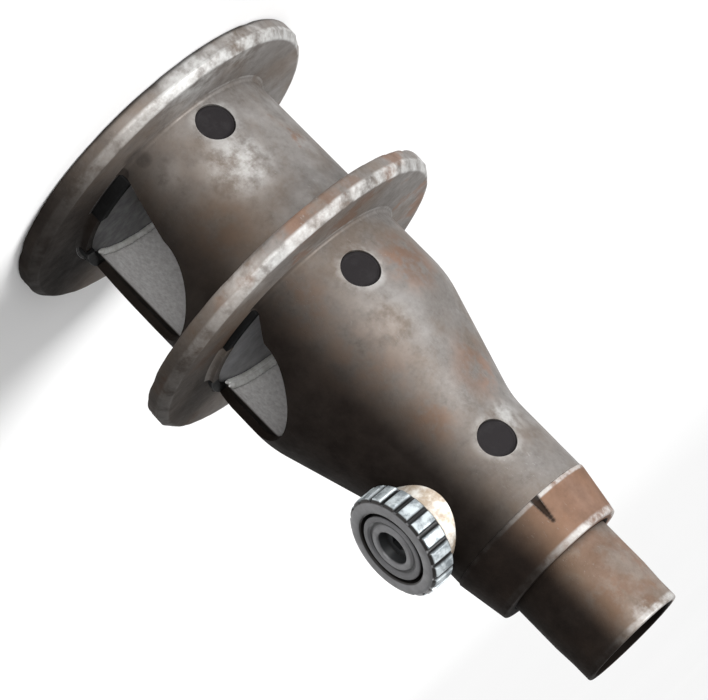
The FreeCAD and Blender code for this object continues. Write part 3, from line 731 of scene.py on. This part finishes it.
def weld(name, base, runs, metal, node):
    """A rippled bead round a chamber's foot, open at the window."""
    start, sweep, steps, sides = math.radians(45), math.radians(270), 360, 12
    centre, thick, lowest, pitch = BORE - 0.4, 0.82, 0.6, 1.2
    bm = bmesh.new()
    for run in range(runs):
        rings = []
        for step in range(steps + 1):
            turn = start + sweep * step / steps
            ripple = 0.09 * math.sin(step * 1.7) + 0.12 * noise.noise(Vector((step * 0.11, run * 7.0, base)))
            fade = min(1.0, step / 4, (steps - step) / 4)
            size = (thick + ripple) * (0.35 + 0.65 * fade)
            ring = []
            for side in range(sides):
                lean = 2 * math.pi * side / sides
                away = centre + size * math.cos(lean)
                up = base + lowest + pitch * run + size * math.sin(lean)
                ring.append(bm.verts.new((away * math.cos(turn) * MM, away * math.sin(turn) * MM, up * MM)))
            rings.append(ring)
        stitch(bm, rings, True, False)
        bm.faces.new(rings[0])
        bm.faces.new(rings[-1])
    show(made(name, bm), metal, "housing", "bright_steel", node)


def caps(dark):
    """The flat plugs in the access holes, each with a broken edge."""
    edge, depth, sunk, dish = HOLE_RADIUS - 0.05, 2.2, 0.7, 0.12
    bm = bmesh.new()
    for wall, height in zip(HOLE_WALLS, HOLE_HEIGHTS):
        top = wall - sunk
        profile = [(0, top - depth, 0), (edge, top - depth, 0), (edge, top, 0.35), (4.3, top, 0.1),
                   (4.1, top - dish, 0.1), (0, top - dish, 0)]
        place = Matrix.Translation((0, 0, height * MM)) @ TO_HOLES
        disc = lathe("cap_part", profile, False, place, 96, 1.5)
        bm.from_mesh(disc.data)
        bpy.data.objects.remove(disc)
    show(made("access_caps", bm), dark, "housing", "dark_cap", "access_plugs")


def boss(metal):
    """The saddle boss under the knob; its heights run out from the coupling's axis."""
    block = lathe("saddle_boss", [
        (BOSS_BORE, 14, 0), (11.6, 14, 0), (10.8, 19.5, 2), (10.8, 22.2, 0.9), (BOSS_BORE, 22.2, 0.4),
    ], matrix=TO_LOCK, longest=1.5)
    inside, low, high = NECK - 0.8, 80, 140
    room = lathe("neck_inside", [(0, low, 0), (inside, low, 0), (inside, high, 0), (0, high, 0)],
                 False, longest=200)
    carve(block, room)
    show(block, metal, "housing", "bright_steel", "lock_boss")


def knurled(turn, inner, outer, teeth):
    """The rim's radius at a turn: flat-topped teeth with rounded flanks."""
    part = (turn * teeth / (2 * math.pi)) % 1.0
    away = abs(part - 0.5) * 2
    rise = min(1.0, max(0.0, (1 - away) / 0.34 - 0.35))
    rise = rise * rise * (3 - 2 * rise)
    return inner + (outer - inner) * rise


def knob(nickel):
    """The knurled rim and the stepped disc in its face; heights run out from the coupling's axis."""
    teeth, steps, valley, crest = 20, 480, 12.75, 13.9
    back = [(22.6, 4.0), (22.6, 11.5), (22.7, 12.3), (23.1, 12.75)]
    toothed = [(23.3, 13.35), (23.8, 13.8)] + [(24.6 + 0.8 * index, crest) for index in range(6)]
    toothed += [(29.3, 13.8), (29.75, 13.35)]
    front = [(30.05, 12.9), (30.25, 12.5), (30.3, 12.1), (30.3, 10.6), (30.15, 10.1), (29.9, 9.85),
             (29.4, 9.75), (24.6, 9.7), (24.6, 4.0)]
    bm = bmesh.new()
    rings = []
    for height, radius in back + toothed + front:
        ring = []
        for step in range(steps):
            turn = 2 * math.pi * step / steps
            away = radius
            if (height, radius) in toothed:
                away = min(radius, knurled(turn, valley, crest, teeth))
            ring.append(bm.verts.new((away * math.cos(turn) * MM, away * math.sin(turn) * MM, height * MM)))
        rings.append(ring)
    stitch(bm, rings, True, True)
    rim = made("knurled_rim", bm, TO_LOCK)
    show(rim, nickel, "lock_knob", "nickel", "knob_rim")
    face = lathe("knob_face", [
        (4, 24.6, 0), (9, 24.6, 0.2), (9, 30, 0.35), (7.6, 30, 0.25), (7.0, 29.4, 0.25), (6.6, 29.4, 0.2),
        (6.0, 30, 0.3), (4.6, 30, 0.4), (4, 27.4, 0.1),
    ], matrix=TO_LOCK, longest=0.8)
    show(face, nickel, "lock_knob", "nickel", "knob_hub")


def collar(rusty):
    """The tapered collar with its V notch."""
    ring = lathe("tapered_collar", [
        (COLLAR_BORE, COLLAR_START, 0.2), (NECK_BORE, COLLAR_START, 0.2), (NECK_BORE, NECK_END, 0.1),
        (COLLAR_WIDE, NECK_END, 0.45), (COLLAR_NARROW, COLLAR_END, 0.5), (COLLAR_BORE, COLLAR_END, 0.35),
    ], longest=1.5, segments=240)
    lean = math.atan2(COLLAR_WIDE - COLLAR_NARROW, COLLAR_END - NECK_END)
    notch = lathe("notch_cutter", [(0, 0, 0), (V_WIDTH, 0, 0), (0.05, V_LENGTH, 0), (0, V_LENGTH, 0)],
                  False, None, 48, 20)
    foot = Matrix.Translation(((COLLAR_WIDE + 0.3) * MM, 0, (NECK_END - 0.1) * MM))
    turn = Matrix.Rotation(math.radians(V_TURN), 4, "Z")
    notch.data.transform(turn @ foot @ Matrix.Rotation(-lean, 4, "Y"))
    carve(ring, notch)
    soften(ring, 0.2)
    show(ring, rusty, "housing", "collar_steel", "front_collar")


def nose(steel):
    """The sliding nose tube with its keyway, its free end a little thinner."""
    tube = lathe("nose_pipe", [
        (NOSE_BORE, NOSE_START, 0.3), (NOSE, NOSE_START, 0.3), (NOSE, NOSE_TAPER, 4),
        (NOSE_TIP, NOSE_TAPER + 5.5, 4), (NOSE_TIP, NOSE_END, 0.6), (NOSE_BORE, NOSE_END, 0.5),
    ], longest=3.0)
    half, floor, beyond, start, end = 1.6, 13.1, 20, 92, 117
    section = [(-beyond, -half), (-floor, -half), (-floor, half), (-beyond, half)]
    keyway = prism("keyway_cutter", section, start, end)
    carve(tube, keyway)
    show(tube, steel, "nose", "nose_steel", "nose_tube")


# ---------------------------------------------------------------- the whole object

def on_side(radius, azimuth, height):
    """The place on a round wall, azimuth in degrees from +X towards +Y."""
    turn = math.radians(azimuth)
    return (radius * math.cos(turn), radius * math.sin(turn), height)


def key_ends(base):
    """Painted shade where a window's sill meets the flange, at both ends."""
    return [(on_side(TUBE + 0.6, azimuth, base + 0.6), 1.6, 3.4, 0.95) for azimuth in (-41, 41)]


def steels():
    """The weathered steels, each with its own rust, painted shade spots and rubbed places; the tube's patch
    at -83 degrees is a painted highlight.
    """
    rings = [((0, -wall, height), 5.2, 7.4, 0.5) for wall, height in zip(HOLE_WALLS, HOLE_HEIGHTS)]
    rear_flange = worn_steel(
        "worn_steel_rear_flange", edge=1.2, edge_share=0.5, side_shade=(0.3, 0.9, 0.97),
        bands=[(3.4, 6.1, 43.0)],
        # Painted shade at the tube's foot.
        shade_spots=[(on_side(SEAT, -50, 6), 1, 7, 0.7)],
        bare_and_highlight=[(on_side(44, -85, 4), 2, 16, 0.8), (on_side(44, -110, 4), 2, 12, 0.7)])
    mid_flange = worn_steel(
        "worn_steel_mid_flange", rust_level=0.52, rust_share=0.6, edge=1.2, edge_share=0.5,
        # floor_radius: painted light on the chamber's floor.
        side_shade=(0.5, 1.0, 0.85), bands=[(49.4, 52.1, 43.0)], floor_radius=BORE,
        rust=[(on_side(FLANGE, -75, 48), 1, 11, 0.8), (on_side(FLANGE, -95, 48), 1, 9, 0.6)],
        bare_and_highlight=[(on_side(FLANGE, -50, 50), 1, 10, 0.8)])
    tube = worn_steel(
        # chamber: painted light on the inner wall.
        "worn_steel_tube", edge=0.5, edge_share=0.2, chamber=(CHAMBER_WALL, 80, 0),
        rust=[(on_side(TUBE, -52, 34), 2, 12, 0.5)],
        # Painted shade at the tube's foot and at the ends of the window's sill.
        shade_spots=[(on_side(TUBE, -52, 8), 1, 6, 0.8)] + key_ends(FLANGE_THICK),
        # The patch at -83 degrees is a painted highlight; the rest are bare worn spots.
        bare_and_highlight=rings[:1] + [(on_side(TUBE, -83, 24), 3, 12, 0.85), (on_side(TUBE, -56, 15), 1, 6, 0.5)])
    front = worn_steel(
        "worn_steel_front", edge=0.5, edge_share=0.2, side_shade=(-0.1, 0.72, 1.0),
        # chamber: painted light on the inner wall.
        chamber=(CHAMBER_WALL, CONE_Z, MID_TOP + MID_SILL + 0.1),
        rust=[(on_side(TUBE, -116, 67), 3, 13, 0.8), (on_side(25, -114, 97), 3, 12, 0.7),
              (on_side(24, -63, 100), 2, 10, 0.7), (on_side(TUBE, -55, 60), 3, 12, 0.5),
              (on_side(TUBE, -60, 80), 4, 18, 0.4)],
        # Painted shade on the cone towards +X, round the boss under the knob, where the neck meets the
        # collar, and at the sill's ends.
        shade_spots=[(on_side(28, -20, 80), 8, 22, 1.0), ((24, 0, LOCK_Z), 15, 25, 1.0),
               (on_side(20, -42, 118), 3, 12, 0.7)] + key_ends(MID_TOP),
        bare_and_highlight=rings[1:] + [(on_side(21, -108, 110), 1, 7, 0.7), (on_side(TUBE, -80, 76), 3, 13, 0.3)])
    collar_steel = worn_steel(
        "rusty_collar", rust_level=0.1, edge=0.6, edge_share=0.6, side_shade=(0.0, 0.68, 1.0), bore=16.0,
        bands=[(140.7, 142.5, 17.0), (128.5, 129.8, 19.8)],
        # Painted shade along the V notch.
        shade_spots=[(on_side(20.3 - 0.16 * step, V_TURN, 129.3 + 0.9 * step), 0.9 - 0.1 * step,
                1.7 - 0.1 * step, 0.9) for step in range(8)])
    nose_steel = worn_steel(
        "worn_steel_nose", rust_level=0.46, rust_share=0.55, tint=(1.08, 0.95, 0.86), edge=0.8,
        side_shade=(0.05, 0.72, 1.0), bore=13.2,
        bands=[(165.2, 167.1, 13.2)],
        rust=[(on_side(NOSE, -66, 157), 3, 11, 0.8)],
        bare_and_highlight=[(on_side(NOSE, -85, 165.5), 1, 6, 0.8)])
    return rear_flange, mid_flange, tube, front, collar_steel, nose_steel


def dress_all():
    """Makes every piece and gives each its material."""
    rear_steel, mid_steel, tube_steel, front_steel, collar_steel, nose_steel = steels()
    # rim: painted shade on the plate's outer ring, where it meets the flange seat.
    plate_metal = turned_metal("end_plate_metal", (0.27, 0.27, 0.275), (0.2, 0.2, 0.205), 0.5, 0.2, rim=29.6)
    bright = turned_metal("bare_bright_steel", (0.72, 0.71, 0.68), (0.56, 0.54, 0.5), 0.36, 0.6)
    boss_metal = turned_metal("boss_metal", (0.78, 0.76, 0.71), (0.42, 0.34, 0.26), 0.5, 0.3)
    weld_metal = turned_metal("weld_metal", (0.88, 0.88, 0.86), (0.66, 0.65, 0.62), 0.5, 0.2, shade_share=0.1)
    nickel = knob_metal()
    bronze = turned_metal("bearing_bronze", (0.55, 0.36, 0.17), (0.42, 0.26, 0.12), 0.3)
    alloy = turned_metal("beam_alloy", (0.72, 0.73, 0.75), (0.6, 0.61, 0.63), 0.28)
    black = dark_cap("black_oxide", (0.003, 0.003, 0.003), (0.008, 0.008, 0.008), 0.7)
    dark = dark_cap("dark_cap", (0.016, 0.014, 0.015), (0.024, 0.022, 0.023), 0.75)
    rubber = dark_cap("seal_rubber", (0.01, 0.01, 0.01), (0.02, 0.02, 0.02), 0.7)

    flanges(rear_steel, mid_steel)
    end_plate(plate_metal)
    rear_tube(tube_steel)
    front_shell(front_steel)
    key_pair("rear_key_pair", FLANGE_THICK, REAR_KEY_TOP, black, "rear_keys")
    key_pair("mid_key_pair", MID_TOP, MID_KEY_TOP, black, "mid_keys")
    weld("rear_bead", FLANGE_THICK, 1, weld_metal, "rear_weld")
    weld("mid_bead", MID_TOP, 2, weld_metal, "mid_weld")
    caps(dark)
    boss(boss_metal)
    knob(nickel)
    collar(collar_steel)
    nose(nose_steel)

    plain = {
        "rear_screws": black, "grub_screws": black, "shaft_clips": black, "rear_bush": bronze,
        "mid_bush": bronze, "nose_bush": bronze, "guide_ring": bronze, "thread_insert": bronze,
        "thrust_washers": bronze, "beam_element": alloy, "output_shaft": bright, "collar_pin": bright,
        "guide_pin": bright, "lock_screw": nickel, "swivel_pad": bright, "nose_seal": rubber,
    }
    for name, material in plain.items():
        dress(name, material)


# ---------------------------------------------------------------- floor, lights and camera

CAMERA_AZIMUTH = 31.5
CAMERA_ELEVATION = 10.8
CAMERA_ROLL = -135.4
CAMERA_DISTANCE = 0.8062
CAMERA_AIM = Vector((-0.0008, -0.0005, 0.0704))
CAMERA_LENS = 169.7
WORLD_STRENGTH = 0.38
FLOOR_HALF = 30


def around(azimuth, elevation, distance):
    """A place at an azimuth from -Y towards +X and an elevation, at a distance from the aim."""
    turn, rise = math.radians(azimuth), math.radians(elevation)
    level = math.cos(rise) * distance
    return CAMERA_AIM + Vector((math.sin(turn) * level, -math.cos(turn) * level,
                                math.sin(rise) * distance))


def aimed(place, roll=0.0):
    """A matrix at a place that looks at the aim, rolled about the line of sight."""
    turn = (CAMERA_AIM - place).to_track_quat("-Z", "Y").to_matrix().to_4x4()
    return Matrix.Translation(place) @ turn @ Matrix.Rotation(roll, 4, "Z")


def put(name, data, matrix):
    """A camera or light in the scene, at a matrix."""
    item = bpy.data.objects.new(name, data)
    bpy.context.scene.collection.objects.link(item)
    item.matrix_world = matrix
    return item


def add_camera():
    """The camera at the viewing angle, rolled so that the nose points to the lower right."""
    data = bpy.data.cameras.new("Camera")
    data.lens = CAMERA_LENS
    data.clip_start = 0.01
    place = around(CAMERA_AZIMUTH, CAMERA_ELEVATION, CAMERA_DISTANCE)
    bpy.context.scene.camera = put("Camera", data, aimed(place, -math.radians(CAMERA_ROLL)))


def add_sun(azimuth, elevation, strength, softness):
    """A wide soft key light that reaches the floor as well."""
    data = bpy.data.lights.new("Key", "SUN")
    data.energy = strength
    data.angle = math.radians(softness)
    put("Key", data, aimed(around(azimuth, elevation, 2.0)))


def add_light(name, azimuth, elevation, distance, size, power):
    """A soft square light that faces the object."""
    data = bpy.data.lights.new(name, "AREA")
    data.size = size
    data.energy = power
    put(name, data, aimed(around(azimuth, elevation, distance)))


def add_floor():
    """A plain pale floor."""
    bm = bmesh.new()
    bmesh.ops.create_grid(bm, x_segments=1, y_segments=1, size=FLOOR_HALF)
    mesh = bpy.data.meshes.new("Floor")
    bm.to_mesh(mesh)
    bm.free()
    floor = bpy.data.objects.new("Floor", mesh)
    bpy.context.scene.collection.objects.link(floor)
    material, tree = blank_material("pale_floor")
    where = add(tree, "TexCoord").outputs["Object"]
    soft = grain(tree, where, 400, 2)
    colour = blend(tree, soft, (0.88, 0.88, 0.88), (0.91, 0.91, 0.91))
    finish_surface(tree, colour, 0.9, soft, 0.0, 0.0, 0.1)
    mesh.materials.append(material)


def add_world():
    """Even pale surroundings."""
    world = bpy.data.worlds.new("Studio")
    world.use_nodes = True
    background = world.node_tree.nodes["Background"]
    background.inputs["Color"].default_value = (1, 1, 1, 1)
    background.inputs["Strength"].default_value = WORLD_STRENGTH
    bpy.context.scene.world = world
    bpy.context.scene.view_settings.view_transform = "Standard"


add_camera()
dress_all()
add_floor()
add_world()
add_sun(azimuth=-24, elevation=42, strength=3.2, softness=25)
add_light("Fill", azimuth=24, elevation=3, distance=1.0, size=0.4, power=7.8)
add_light("Back", azimuth=185, elevation=25, distance=1.2, size=0.6, power=4)
